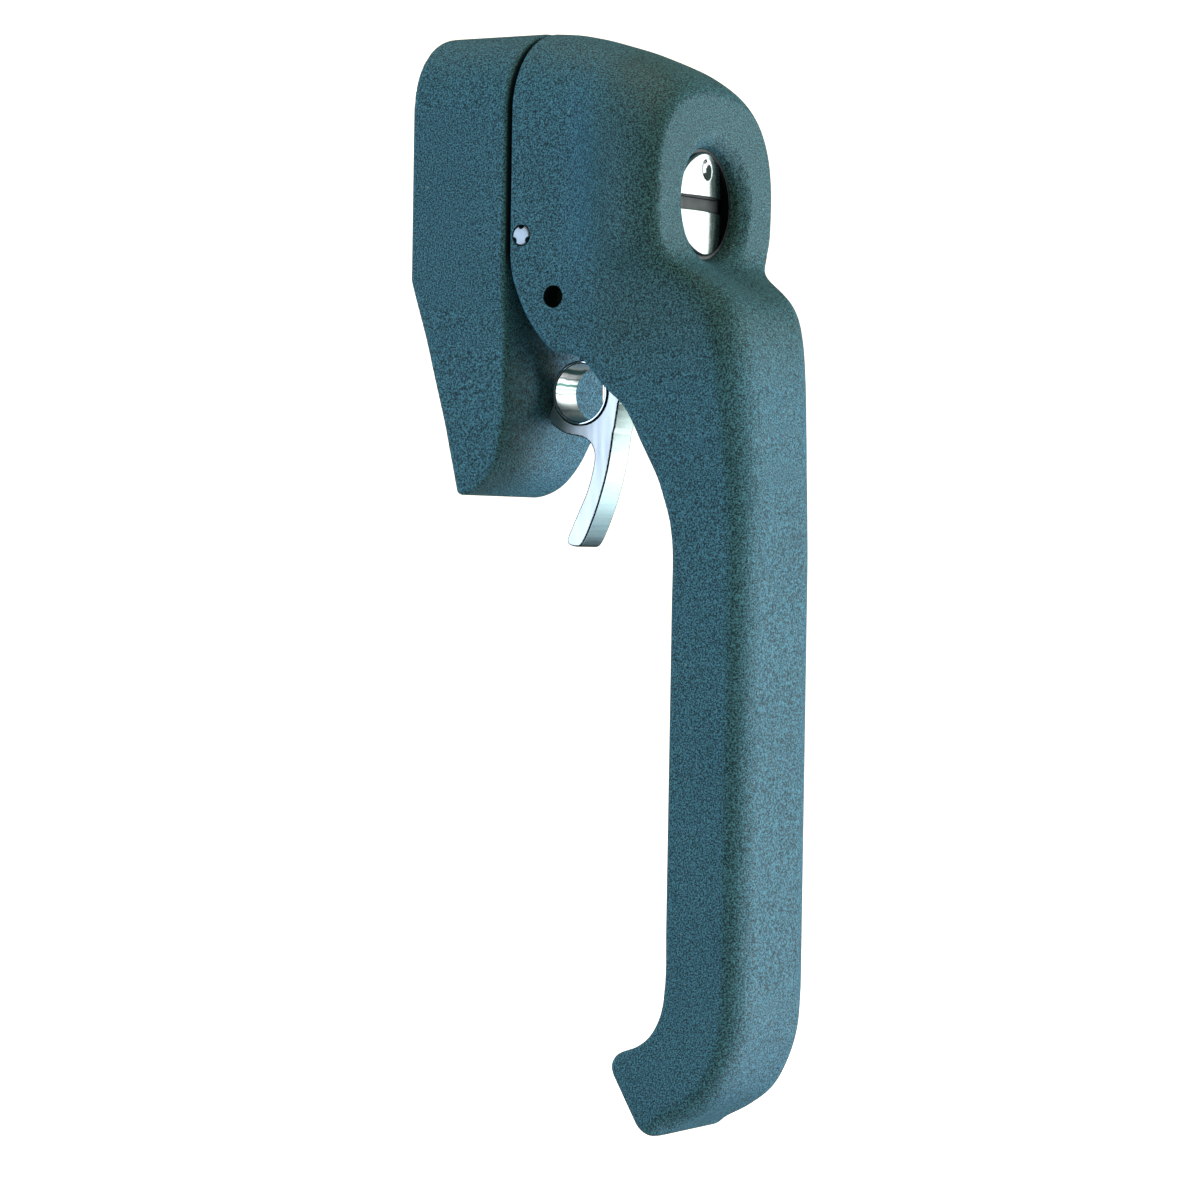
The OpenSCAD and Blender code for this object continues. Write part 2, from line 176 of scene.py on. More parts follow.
def piece_from_field(name, fn, lo, hi, h, eps=0.15, steps=3):
    """Meshes the zero surface of fn(x, f, z) (mm), moves every vertex onto it exactly and keeps its true normals."""
    xs = np.arange(lo[0], hi[0] + h, h)
    ys = np.arange(-(hi[1] + BD), -(lo[1] + BD) + h, h)
    zs = np.arange(lo[2], hi[2] + h, h)
    d = fn(xs[:, None, None], -ys[None, :, None] - BD, zs[None, None, :])
    d = np.broadcast_to(d, (len(xs), len(ys), len(zs))).astype(np.float32)
    d = np.ascontiguousarray(np.clip(d, -3 * h, 3 * h))
    d[0], d[-1], d[:, 0], d[:, -1], d[:, :, 0], d[:, :, -1] = 3 * h, 3 * h, 3 * h, 3 * h, 3 * h, 3 * h
    g = vdb.FloatGrid(3 * h)
    g.copyFromArray(d)
    v, q = g.convertToQuads(isovalue=0.0)
    v = np.array([xs[0], ys[0], zs[0]]) + v.astype(float) * h

    def at(p):
        return fn(p[:, 0], -p[:, 1] - BD, p[:, 2])

    def grad(p):
        out = np.zeros_like(p)
        for k in range(3):
            e = np.zeros(3)
            e[k] = eps
            out[:, k] = (at(p + e) - at(p - e)) / (2 * eps)
        return out

    for _ in range(steps):
        gr = grad(v)
        ll = np.maximum((gr ** 2).sum(1), 0.05)
        v = v - np.clip(at(v) / ll, -0.4 * h, 0.4 * h)[:, None] * gr
    gr = grad(v)
    nrm = gr / np.maximum(np.linalg.norm(gr, axis=1), 1e-9)[:, None]
    q = q.astype(int)
    a, b, c, e = (v[q[:, k]] for k in range(4))
    fn_n = np.cross(c - a, e - b)
    if (fn_n * nrm[q[:, 0]]).sum() < 0:
        q = q[:, ::-1]
    mesh = bpy.data.meshes.new(name)
    mesh.from_pydata((v * MM).tolist(), [], q.tolist())
    mesh.validate()
    mesh.update()
    if len(mesh.vertices) == len(v):
        mesh.polygons.foreach_set("use_smooth", [True] * len(mesh.polygons))
        mesh.normals_split_custom_set_from_vertices(nrm.tolist())
    obj = bpy.data.objects.new(name, mesh)
    bpy.context.scene.collection.objects.link(obj)
    return obj


# ---------------------------------------------------------------- handle casting
front_side = [(33.6, 45)] + catmull([
    (33.6, 6), (33.6, -4), (33.75, -8.1), (34.55, -10.6), (36.15, -12.2), (38.1, -13.5), (40.5, -15.1), (42.85, -17.1), (44.6, -19.7),
    (45.85, -23.6), (46.8, -31), (47.45, -40), (47.8, -50), (47.88, -60)]) + catmull([
    (47.88, -131), (47.8, -140.5), (47.2, -146.8), (45.4, -152.3), (42.5, -157.2), (38.1, -160.6), (33.7, -162.9), (31.0, -164.6),
    (29.8, -164.78)])
finger_side = catmull([(29.3, -164.78), (28.2, -163.7)]) + catmull([
    (22.5, -153.9), (22.3, -152.2), (23.2, -150.7), (24.6, -149.9), (27.4, -148.9), (30.1, -146.8), (32.2, -142.9), (33.05, -137),
    (33.05, -128)]) + catmull([
    (33.2, -72), (33.2, -61.5), (32.5, -56.3), (31.4, -52.7), (30.2, -49.3), (28.4, -45.7), (26.6, -42.3), (25.1, -39.1),
    (23.3, -36.2), (20.9, -34.1), (18.9, -32.2), (17, -29.9), (15.4, -28.3), (13.6, -27.3), (11.5, -26.8), (9.2, -26.6), (7.7, -25.4),
    (5.6, -23), (3.6, -20.1), (1.9, -16.7), (0.6, -13.2), (0, -9.5)])
side_t = Table2D([(0, 45)] + front_side + finger_side, (-4, -170), (51, 48), 0.2, 0.45)
split_t = Table2D((finger_side + [(0, 45)], front_side), (-4, -170), (51, 48), 0.4, 0.8, chain_gap)
rx_t = curve_table([(-180, 6.2), (-62, 6.2), (-38, 8.2), (-22, 8.5), (-13, 5.5), (-7, 3.4), (40, 3.2)], 2.0, -185, 60)
rf_t = curve_table([(-180, 3.8), (-62, 3.8), (-38, 5.2), (-22, 5.6), (-13, 6.0), (-7, 7.0), (40, 7.0)], 2.0, -185, 60)

top_t = curve_table([(-5, 31.8), (0, 31.75), (5.5, 31.3), (11, 30.15), (19.3, 27.7), (24.5, 25.6), (27.5, 24.25), (30, 23.1), (33, 22.1), (36, 21.1)],
                    1.2, -6, 52)
neck_t = curve_table([(-180, 13.25), (-58, 13.3), (-48, 13.5), (-40, 14.1), (-31, 14.9), (-25, 15.6), (-20, 15.8), (60, 15.8)],
                     2.0, -185, 60)
boss_t = curve_table([(-180, 13.25), (-58, 13.3), (-48, 13.5), (-40, 14.1), (-31, 14.9), (-24, 15.4), (-19.5, 15.9), (-16.5, 16.4),
                      (-13.9, 17.3), (-11.8, 18.7), (-9.3, 20.8), (-6, 22.0), (-2, 22.4), (0, 22.4), (60, 22.4)], 0.8, -185, 60)


def handle_section(x, f, z):
    s = sstep(10.5, 28.5, f)
    w0 = 15.8 + 6.64 * s
    p = 2.0 + 0.5 * s
    zc = 16.0 * (1.0 - s)
    h = np.maximum(top_t(f) - zc, 4.0)
    up = z - zc
    zu = np.maximum(up, 0.0)
    a, b = np.abs(x) / w0, zu / h
    k = np.maximum((a ** p + b ** p) ** (1.0 / p), 1e-4)
    gr = np.hypot(a ** (p - 1.0) / w0, b ** (p - 1.0) / h) / k ** (p - 1.0)
    d_up = (k - 1.0) / np.maximum(gr, 0.02)
    d_lo = np.abs(x) - lerp(neck_t(z), boss_t(z), s)
    return np.where(up > 0, d_up, d_lo)


pocket_poly = [(1, -36), (1, -30), (2.3, -16.9), (3.5, -12.9), (6.2, -10.5), (9.5, -9.7), (12.8, -10.5), (15.3, -12.6),
               (16.7, -16.2), (22, -30), (22, -36)]
swing_poly = [(8, -26), (8, -22), (20.4, -22), (24.5, -34), (24.5, -40), (8, -40)]
pocket_t = Table2D(pocket_poly, (-8, -48), (34, 2), 0.2, 0.15)
swing_t = Table2D(swing_poly, (-8, -52), (34, -8), 0.2, 0.15)


def handle_field(x, f, z):
    # edges: crisp at the parting face and the finger side, long soft ones at the front (rx across, rf along f)
    fr = sstep(-3.0, 3.5, split_t(f, z))
    rx, rf = lerp(0.7, rx_t(z), fr), lerp(0.7, rf_t(z), fr)
    d = round_int(side_t(f, z) * (rx / rf), handle_section(x, f, z), rx)
    # lock bore with its soft lip
    q = np.hypot(x, z)
    d = np.maximum(d, -np.maximum(q - 9.55, 19.5 - f))
    d = round_int(d, -np.maximum(q - (9.4 + 0.62 * (f - 30.8)), 30.0 - f) * 0.8, 1.4)
    d = np.maximum(d, -np.maximum(q - 7.0, box_f(f, 9.3, 20.0)))
    # spindle socket, bolt guide and the way of its peg
    d = np.maximum(d, -np.maximum(q - 7.9, f - 8.0))
    d = np.maximum(d, -np.maximum(np.hypot(x, z - 11.6) - 2.1, f - 22.0))
    d = np.maximum(d, -np.maximum(np.maximum(np.abs(x) - 1.4, box_f(z, 0.0, 11.6)), f - 19.0))
    # trigger pocket and the room for the hook's swing
    d = round_int(d, -np.maximum(pocket_t(f, z), box_f(x, -5.2, 8.6)), 0.6)
    d = round_int(d, -np.maximum(swing_t(f, z), np.abs(x) - 4.0), 0.5)
    return d


handle = piece_from_field("handle_casting", handle_field, (-24, -2, -167), (24, 50, 34), 0.5, eps=0.2)


def cut_round(obj, holes):
    """Cuts round holes along X through a casting: (radius, f, z, x0, x1)."""
    cutters = []
    for n, (r, f, z, x0, x1) in enumerate(holes):
        seg = 72
        verts, faces = [], []
        for x in (x0, x1):
            for i in range(seg):
                a = 2 * math.pi * i / seg
                verts.append((x * MM, (-(f + BD) + r * math.cos(a)) * MM, (z + r * math.sin(a)) * MM))
        faces = [(i, (i + 1) % seg, seg + (i + 1) % seg, seg + i) for i in range(seg)]
        faces += [tuple(range(seg - 1, -1, -1)), tuple(range(seg, 2 * seg))]
        m = bpy.data.meshes.new("cutter")
        m.from_pydata(verts, [], faces)
        m.update()
        c = bpy.data.objects.new("cutter", m)
        bpy.context.scene.collection.objects.link(c)
        mod = obj.modifiers.new("cut", "BOOLEAN")
        mod.operation, mod.solver, mod.object = "DIFFERENCE", "EXACT", c
        cutters.append(c)
    dg = bpy.context.evaluated_depsgraph_get()
    new = bpy.data.meshes.new_from_object(obj.evaluated_get(dg))
    obj.modifiers.clear()
    obj.data = new
    for c in cutters:
        bpy.data.objects.remove(c)


cut_round(handle, [(1.95, 2.6, -5.9, -30, -14.2), (1.95, 2.6, -5.9, 14.2, 30), (2.02, 9.5, -16.9, -30, 30)])

# ---------------------------------------------------------------- base casting
base_poly = [(-20.5, 60), (-20.5, -13.3), (-10.2, -51.7), (-9.5, -52.2)] + [
    (-9.9 + 9.4 * math.cos(math.radians(a)), -42.6 + 9.6 * math.sin(math.radians(a))) for a in range(-84, 1, 6)] + [(-0.5, 60)]
base_t = Table2D(base_poly, (-24, -56), (3, 48), 0.2, 0.25)
hollow_t = Table2D([(-26, -18.5), (-6.2, -18.5), (-5.2, -21), (-5.2, -40), (-7, -43), (-26, -43)], (-24, -48), (0, -12), 0.2, 0.15)


def arch_d(x, z, r, bottom=-99.0):
    return np.maximum(np.hypot(x, np.maximum(z - 16.0, 0.0)) - r, bottom - z)


def base_outline(x, f, z):
    """Arch of the base's own outer face: slightly wider and squarer toward the door."""
    t = np.clip((f + 20.5) / 20.0, 0.0, 1.0)
    w, p = lerp(16.5, 16.4, t) + 0.5 * sstep(-15, -30, z), lerp(2.22, 2.05, t)
    a, b = np.abs(x) / w, np.maximum(z - 16.0, 0.0) / 15.78
    k = np.maximum((a ** p + b ** p) ** (1.0 / p), 1e-4)
    gr = np.hypot(a ** (p - 1.0) / w, b ** (p - 1.0) / 15.78) / k ** (p - 1.0)
    return np.where(z > 16.0, (k - 1.0) / np.maximum(gr, 0.02), np.abs(x) - w)


def base_field(x, f, z):
    # the right-hand corner of the lower end is the softer one
    g = sstep(-13, -28, z) * lerp(1.0, 1.0 - sstep(-37, -44, z), sstep(-14, -6, f))
    rf = lerp(0.9, lerp(0.9, 9.2, sstep(-35, -49, z)), sstep(-5, 5, x))
    rr = lerp(0.35, rf, sstep(-17, -10, f))
    d = round_int(base_t(f - 0.9 * g + 0.12, z), base_outline(x, f, z), rr)
    q = np.hypot(x, z)
    posts = np.minimum(np.hypot(np.abs(x) - 9.5, z - 24.0), np.hypot(np.abs(x) - 9.5, z + 9.5)) - 3.57
    covers = np.maximum(np.minimum(np.hypot(x, z - 27.3), np.hypot(x, z + 10.9)) - 2.1, -18.5 - f)
    room = np.maximum(np.minimum(np.maximum(arch_d(x, z, 12.8, -12.2), f + 4.5),
                                 np.maximum(arch_d(x, z, 13.85, -12.75), f + 18.5)), -30.0 - f)
    room = np.maximum(np.maximum(room, -posts), -covers)
    d = np.maximum(d, -room)
    d = np.maximum(d, -np.maximum(posts + 3.57 - 2.0, f + 8.5))
    d = np.maximum(d, -(q - 8.55))
    k = np.minimum(np.hypot(x, z - 11.6), np.hypot(x + 11.6, z)) - 2.3
    d = np.maximum(d, -np.maximum(k, -5.5 - f))
    d = round_int(d, -np.maximum(hollow_t(f, z), np.abs(x) - 8.5), 0.6)
    return d


base = piece_from_field("base_casting", base_field, (-18, -22, -54), (18, 1, 33), 0.45, eps=0.12)


# ---------------------------------------------------------------- hook and its bush
hook_hub = [(9.5 + 5 * math.cos(math.radians(a)), -16.9 + 5 * math.sin(math.radians(a))) for a in range(0, 360, 8)]
hook_cheek = [(6.2, -18.4), (6.8, -13.5), (13.0, -13.6), (14.4, -17.4)] + catmull([
    (17.3, -25), (17.9, -30), (17.3, -33.2), (15.4, -35.2)]) + [(14.4, -39.6), (11.6, -41.2), (9.6, -36.6), (7.4, -27.6)]
hook_tail = catmull([
    (0.8, -37.5), (1.6, -39), (3.4, -40.2), (5.2, -40.9), (8.2, -41.4), (9.6, -42.2), (10.5, -43.4), (10.8, -44.9), (10.4, -47.5),
    (9.3, -51.2), (7.6, -54.8), (6.1, -58), (5.3, -59.9), (5.4, -60.6), (6.1, -60.95), (7.9, -61.1), (8.7, -60.4), (11.1, -55.4),
    (12.6, -51.1), (13.5, -47.9), (14.2, -44.4), (14.8, -40.1), (15.2, -36.5), (15.3, -35.0)], 0.5) + [(2.6, -33.8)]
hub_t = Table2D(hook_hub, (-4, -64), (22, -8), 0.15, 0)
cheek_t = Table2D(hook_cheek, (-4, -64), (22, -8), 0.15, 0.15)
tail_t = Table2D(hook_tail, (-4, -64), (22, -8), 0.15, 0.15)


def hook_field(x, f, z):
    two = round_uni(np.minimum(hub_t(f, z), cheek_t(f, z)), tail_t(f, z), 1.2)
    two = np.maximum(two, 2.05 - np.hypot(f - 9.5, z + 16.9))
    d = round_int(two, np.abs(x) - 3.3, 0.32)
    return round_int(d, 5.82 - np.hypot(f - 7.7, z + 33.4), 0.22)


hook = piece_from_field("hook_plate", hook_field, (-4, -1, -63), (4, 20, -10), 0.24, eps=0.06)


def lathe_x(name, profile, f, z, seg=160):
    """Ring turned about an X axis from a closed (x, r) profile."""
    verts, faces = [], []
    n = len(profile)
    for i in range(seg):
        a = 2 * math.pi * i / seg
        for x, r in profile:
            verts.append((x * MM, (-(f + BD) + r * math.cos(a)) * MM, (z + r * math.sin(a)) * MM))
    for i in range(seg):
        for j in range(n):
            faces.append((i * n + j, i * n + (j + 1) % n, ((i + 1) % seg) * n + (j + 1) % n, ((i + 1) % seg) * n + j))
    m = bpy.data.meshes.new(name)
    m.from_pydata(verts, [], faces)
    m.update()
    o = bpy.data.objects.new(name, m)
    bpy.context.scene.collection.objects.link(o)
    return o


def ring_profile(x0, x1, r0, r1, c, n=5):
    out = []
    for cx, cr, a0 in ((x1 - c, r1 - c, 0), (x0 + c, r1 - c, 90), (x0 + c, r0 + c, 180), (x1 - c, r0 + c, 270)):
        for k in range(n + 1):
            a = math.radians(a0 + 90 * k / n)
            # x follows cos, r follows sin
            out.append((cx + c * math.cos(a), cr + c * math.sin(a)))
    return out


def fix_normals(o, angle=35):
    import bmesh
    bm = bmesh.new()
    bm.from_mesh(o.data)
    bmesh.ops.recalc_face_normals(bm, faces=bm.faces)
    bm.to_mesh(o.data)
    bm.free()
    for p in o.data.polygons:
        p.use_smooth = True
    o.data.set_sharp_from_angle(angle=math.radians(angle))


bush = lathe_x("eye_bush_ring", ring_profile(-3.6, 3.6, 5.2, 5.8, 0.22), 7.7, -33.4)
fix_normals(bush)


# ---------------------------------------------------------------- lock plug
def plug_field(x, f, z):
    q = np.hypot(x, z)
    dome = np.sqrt((x + 1.5) ** 2 + (0.42 * z) ** 2 + (f - (31.8 - 27.0)) ** 2) - 27.0
    d = round_int(np.maximum(q - 9.25, 28.0 - f), dome, 0.5)
    slot = np.maximum(np.abs(z) - 1.25, 28.9 - f)
    d = round_int(d, -slot, 0.22)
    dim = np.sqrt(x * x + (z - 6.1) ** 2 + (f - 32.9) ** 2) - 2.15
    d = round_int(d, -dim, 0.25)
    d = np.minimum(d, np.maximum(q - 6.0, box_f(f, 19.0, 28.4)))
    stem = np.maximum(np.maximum(q - 3.0, box_f(f, 10.4, 19.3)), np.minimum(z - 2.3, 18.6 - f))
    return np.minimum(d, stem)


plug = piece_from_field("lock_plug_turned", plug_field, (-9.9, 9.8, -9.9), (9.9, 32.2, 9.9), 0.22, eps=0.05)


# ---------------------------------------------------------------- grooved cross pin
def pin_field(x, f, z):
    q = np.hypot(f - 2.6, z + 5.9)
    ax = np.abs(x)
    d = round_int(q - 1.75, ax - 15.9, 0.3)
    g = 1e9
    for a in (90, 210, 330):
        gf, gz = 2.6 + 1.8 * math.cos(math.radians(a)), -5.9 + 1.8 * math.sin(math.radians(a))
        g = np.minimum(g, np.hypot(f - gf, z - gz) - 0.62)
    return round_int(d, -np.maximum(g, 12.4 - ax), 0.08)


pin = piece_from_field("cross_pin_grooved", pin_field, (-16.2, 0.4, -8.1), (16.2, 4.8, -3.7), 0.16, eps=0.03)


# ---------------------------------------------------------------- torsion spring
def swept(name, path, r, seg=12):
    P = [np.array(p, float) for p in path]
    T = [P[min(i + 1, len(P) - 1)] - P[max(i - 1, 0)] for i in range(len(P))]
    T = [t / np.linalg.norm(t) for t in T]
    up = np.array([1.0, 0, 0])
    verts, faces = [], []
    for p, t in zip(P, T):
        b = np.cross(t, up)
        b /= np.linalg.norm(b)
        c = np.cross(t, b)
        for k in range(seg):
            a = 2 * math.pi * k / seg
            verts.append(tuple((p + r * (math.cos(a) * b + math.sin(a) * c)) * MM))
    for i in range(len(P) - 1):
        for k in range(seg):
            faces.append((i * seg + k, i * seg + (k + 1) % seg, (i + 1) * seg + (k + 1) % seg, (i + 1) * seg + k))
    faces += [tuple(range(seg)), tuple(range((len(P) - 1) * seg + seg - 1, (len(P) - 1) * seg - 1, -1))]
    m = bpy.data.meshes.new(name)
    m.from_pydata(verts, [], faces)
    m.update()
    o = bpy.data.objects.new(name, m)
    bpy.context.scene.collection.objects.link(o)
    fix_normals(o, 50)
    return o


turns, n_sp = 3.75, 180
sp_path = [(5.1, -(12.5 + BD), -24.4), (5.1, -(12.5 + BD), -20.6)]
for i in range(n_sp + 1):
    t = i / n_sp
    a = 2 * math.pi * turns * t
    sp_path.append((5.1 + 2.9 * t, -(9.5 + 3 * math.cos(a) + BD), -16.9 + 3 * math.sin(a)))
sp_path += [(8.0, -(12.0 + BD), -19.9), (8.0, -(15.0 + BD), -19.9)]
spring = swept("torsion_spring_wire", sp_path, 0.33)


# ---------------------------------------------------------------- materials
def node_mat(name):
    m = bpy.data.materials.new(name)
    m.use_nodes = True
    nt = m.node_tree
    nt.nodes.clear()
    out = nt.nodes.new("ShaderNodeOutputMaterial")
    bs = nt.nodes.new("ShaderNodeBsdfPrincipled")
    nt.links.new(bs.outputs["BSDF"], out.inputs["Surface"])
    co = nt.nodes.new("ShaderNodeTexCoord")
    return m, nt, bs, co


def noise(nt, co, scale, detail=3.0, rough=0.55, stretch=None):
    src = co.outputs["Object"]
    if stretch:
        mp = nt.nodes.new("ShaderNodeMapping")
        mp.inputs["Scale"].default_value = stretch
        nt.links.new(src, mp.inputs["Vector"])
        src = mp.outputs["Vector"]
    n = nt.nodes.new("ShaderNodeTexNoise")
    n.inputs["Scale"].default_value = scale
    n.inputs["Detail"].default_value = detail
    n.inputs["Roughness"].default_value = rough
    nt.links.new(src, n.inputs["Vector"])
    return n.outputs["Fac"]


def ramp(nt, fac, stops):
    r = nt.nodes.new("ShaderNodeValToRGB")
    el = r.color_ramp.elements
    while len(el) < len(stops):
        el.new(0.5)
    for e, (p, c) in zip(el, stops):
        e.position = p
        e.color = (*c, 1.0) if len(c) == 3 else c
    nt.links.new(fac, r.inputs["Fac"])
    return r.outputs["Color"]


def mix_col(nt, a, b, fac, mode="MIX"):
    m = nt.nodes.new("ShaderNodeMix")
    m.data_type, m.blend_type = "RGBA", mode
    for s, v in ((m.inputs[0], fac), (m.inputs[6], a), (m.inputs[7], b)):
        if isinstance(v, bpy.types.NodeSocket):
            nt.links.new(v, s)
        else:
            s.default_value = v if not isinstance(v, tuple) else (*v, 1.0)
    return m.outputs[2]


def maprange(nt, v, a, b, c, d):
    m = nt.nodes.new("ShaderNodeMapRange")
    nt.links.new(v, m.inputs["Value"])
    for k, x in zip(("From Min", "From Max", "To Min", "To Max"), (a, b, c, d)):
        m.inputs[k].default_value = x
    return m.outputs["Result"]


def bump(nt, h, strength, dist, prev=None):
    b = nt.nodes.new("ShaderNodeBump")
    b.inputs["Strength"].default_value = strength
    b.inputs["Distance"].default_value = dist
    nt.links.new(h, b.inputs["Height"])
    if prev is not None:
        nt.links.new(prev, b.inputs["Normal"])
    return b.outputs["Normal"]


def coat_material(name, base, seam_and_shade=False, under_head_shade=False):
    m, nt, bs, co = node_mat(name)
    dark = tuple(c * 0.22 for c in base)
    light = tuple(min(c * 2.3 + 0.012, 1) for c in base)
    speck = ramp(nt, noise(nt, co, 3400, 2.0, 0.8), [(0.40, dark), (0.5, base), (0.60, light)])
    broad = ramp(nt, noise(nt, co, 45, 3.0), [(0.3, (0.90, 0.92, 0.93)), (0.7, (1.08, 1.05, 1.04))])
    col = mix_col(nt, speck, broad, 1.0, "MULTIPLY")
    # thin wear along the convex edges
    geo = nt.nodes.new("ShaderNodeNewGeometry")
    worn = maprange(nt, geo.outputs["Pointiness"], 0.515, 0.60, 0.0, 0.35)
    col = mix_col(nt, col, tuple(min(c * 1.9 + 0.03, 1) for c in base), worn)
    # a few dust specks
    dust = maprange(nt, noise(nt, co, 800, 1.0), 0.785, 0.81, 0.0, 0.45)
    col = mix_col(nt, col, (0.26, 0.44, 0.50), dust)
    if seam_and_shade:
        # painted shade: the head's front is tinted a little browner and darker than the grip's
        hs = nt.nodes.new("ShaderNodeSeparateXYZ")
        nt.links.new(co.outputs["Object"], hs.inputs[0])
        both = nt.nodes.new("ShaderNodeMath")
        both.operation = "MULTIPLY"
        nt.links.new(maprange(nt, hs.outputs["Y"], -43.0 * MM, -36.0 * MM, 1.0, 0.0), both.inputs[0])
        nt.links.new(maprange(nt, hs.outputs["Z"], -33.0 * MM, -22.0 * MM, 0.0, 1.0), both.inputs[1])
        col = mix_col(nt, col, (0.91, 0.81, 0.71), both.outputs[0], "MULTIPLY")
    if under_head_shade:
        # painted shade: the base's front face under the head is coloured near-black where it lies in deep shade
        sp = nt.nodes.new("ShaderNodeSeparateXYZ")
        nt.links.new(co.outputs["Object"], sp.inputs[0])

        def op(kind, a, b=0.0):
            k = nt.nodes.new("ShaderNodeMath")
            k.operation = kind
            for q, v in ((0, a), (1, b)):
                if isinstance(v, bpy.types.NodeSocket):
                    nt.links.new(v, k.inputs[q])
                else:
                    k.inputs[q].default_value = v
            return k.outputs[0]

        up = op("MAXIMUM", op("SUBTRACT", sp.outputs["Z"], 16.0 * MM), 0.0)
        rad = op("SQRT", op("ADD", op("MULTIPLY", sp.outputs["X"], sp.outputs["X"]), op("MULTIPLY", up, up)))
        under = maprange(nt, rad, 15.95 * MM, 16.08 * MM, 1.0, 0.0)
        face = maprange(nt, sp.outputs["Y"], -19.86 * MM, -19.70 * MM, 1.0, 0.0)
        high = maprange(nt, sp.outputs["Z"], -13.0 * MM, -9.0 * MM, 0.0, 1.0)
        col = mix_col(nt, col, (0.008, 0.024, 0.034), op("MULTIPLY", op("MULTIPLY", under, face), high))
    if seam_and_shade:
        sep = nt.nodes.new("ShaderNodeSeparateXYZ")
        nt.links.new(co.outputs["Object"], sep.inputs[0])
        off = nt.nodes.new("ShaderNodeMath")
        off.operation = "ADD"
        off.inputs[1].default_value = (16.0 + BD) * MM
        nt.links.new(sep.outputs["Y"], off.inputs[0])
        ab = nt.nodes.new("ShaderNodeMath")
        ab.operation = "ABSOLUTE"
        nt.links.new(off.outputs[0], ab.inputs[0])
        line = maprange(nt, ab.outputs[0], 0.00006, 0.00022, 1.0, 0.0)
        zm = maprange(nt, sep.outputs["Z"], -0.022, -0.016, 0.0, 1.0)
        mu = nt.nodes.new("ShaderNodeMath")
        mu.operation = "MULTIPLY"
        nt.links.new(line, mu.inputs[0])
        nt.links.new(zm, mu.inputs[1])
        mu2 = nt.nodes.new("ShaderNodeMath")
        mu2.operation = "MULTIPLY"
        mu2.inputs[1].default_value = 0.35
        nt.links.new(mu.outputs[0], mu2.inputs[0])
        col = mix_col(nt, col, tuple(c * 0.5 for c in base), mu2.outputs[0])
    nt.links.new(col, bs.inputs["Base Color"])
    nt.links.new(maprange(nt, noise(nt, co, 700, 3.0), 0.3, 0.7, 0.52, 0.68), bs.inputs["Roughness"])
    n1 = bump(nt, noise(nt, co, 950, 2.0), 0.45, 0.00030)
    n2 = bump(nt, noise(nt, co, 2300, 2.0), 0.50, 0.00016, n1)
    nt.links.new(n2, bs.inputs["Normal"])
    bs.inputs["Specular IOR Level"].default_value = 0.22
    return m


def metal_material(name, base, rough, grain=(1, 1, 1), scale=900, bump_s=0.10, var=0.06, specks=0.0, metal=1.0):
    m, nt, bs, co = node_mat(name)
    n = noise(nt, co, scale, 4.0, 0.6, grain)
    col = ramp(nt, n, [(0.25, tuple(c * (1 - var) for c in base)), (0.75, tuple(min(1, c * (1 + var)) for c in base))])
    if specks:
        s = maprange(nt, noise(nt, co, 700, 2.0), 0.66, 0.74, 0.0, specks)
        col = mix_col(nt, col, tuple(c * 0.55 for c in base), s)
    nt.links.new(col, bs.inputs["Base Color"])
    bs.inputs["Metallic"].default_value = metal
    nt.links.new(maprange(nt, noise(nt, co, scale * 0.5, 3.0, 0.6, grain), 0.3, 0.7, rough * 0.8, rough * 1.25),
                 bs.inputs["Roughness"])
    nt.links.new(bump(nt, n, bump_s, 0.00008), bs.inputs["Normal"])
    return m


def banded_metal(name, axis, stops, rough, grain=(1, 1, 1), scale=900, bump_s=0.08):
    """Metal whose tone runs in soft bands along one object axis, used as painted reflection and shade: stops are
    (position in mm, colour).
    """
    m, nt, bs, co = node_mat(name)
    sep = nt.nodes.new("ShaderNodeSeparateXYZ")
    nt.links.new(co.outputs["Object"], sep.inputs[0])
    lo, hi = stops[0][0], stops[-1][0]
    wob = maprange(nt, noise(nt, co, 260, 2.0), 0.3, 0.7, -0.0002, 0.0002)
    add = nt.nodes.new("ShaderNodeMath")
    add.operation = "ADD"
    nt.links.new(sep.outputs[axis], add.inputs[0])
    nt.links.new(wob, add.inputs[1])
    t = maprange(nt, add.outputs[0], lo * MM, hi * MM, 0.0, 1.0)
    col = ramp(nt, t, [((p - lo) / (hi - lo), c) for p, c in stops])
    n = noise(nt, co, scale, 4.0, 0.6, grain)
    col = mix_col(nt, col, ramp(nt, n, [(0.25, (0.86, 0.86, 0.86)), (0.75, (1.0, 1.0, 1.0))]), 1.0, "MULTIPLY")
    nt.links.new(col, bs.inputs["Base Color"])
    bs.inputs["Metallic"].default_value = 1.0
    nt.links.new(maprange(nt, n, 0.3, 0.7, rough * 0.85, rough * 1.2), bs.inputs["Roughness"])
    nt.links.new(bump(nt, n, bump_s, 0.00008), bs.inputs["Normal"])
    return m


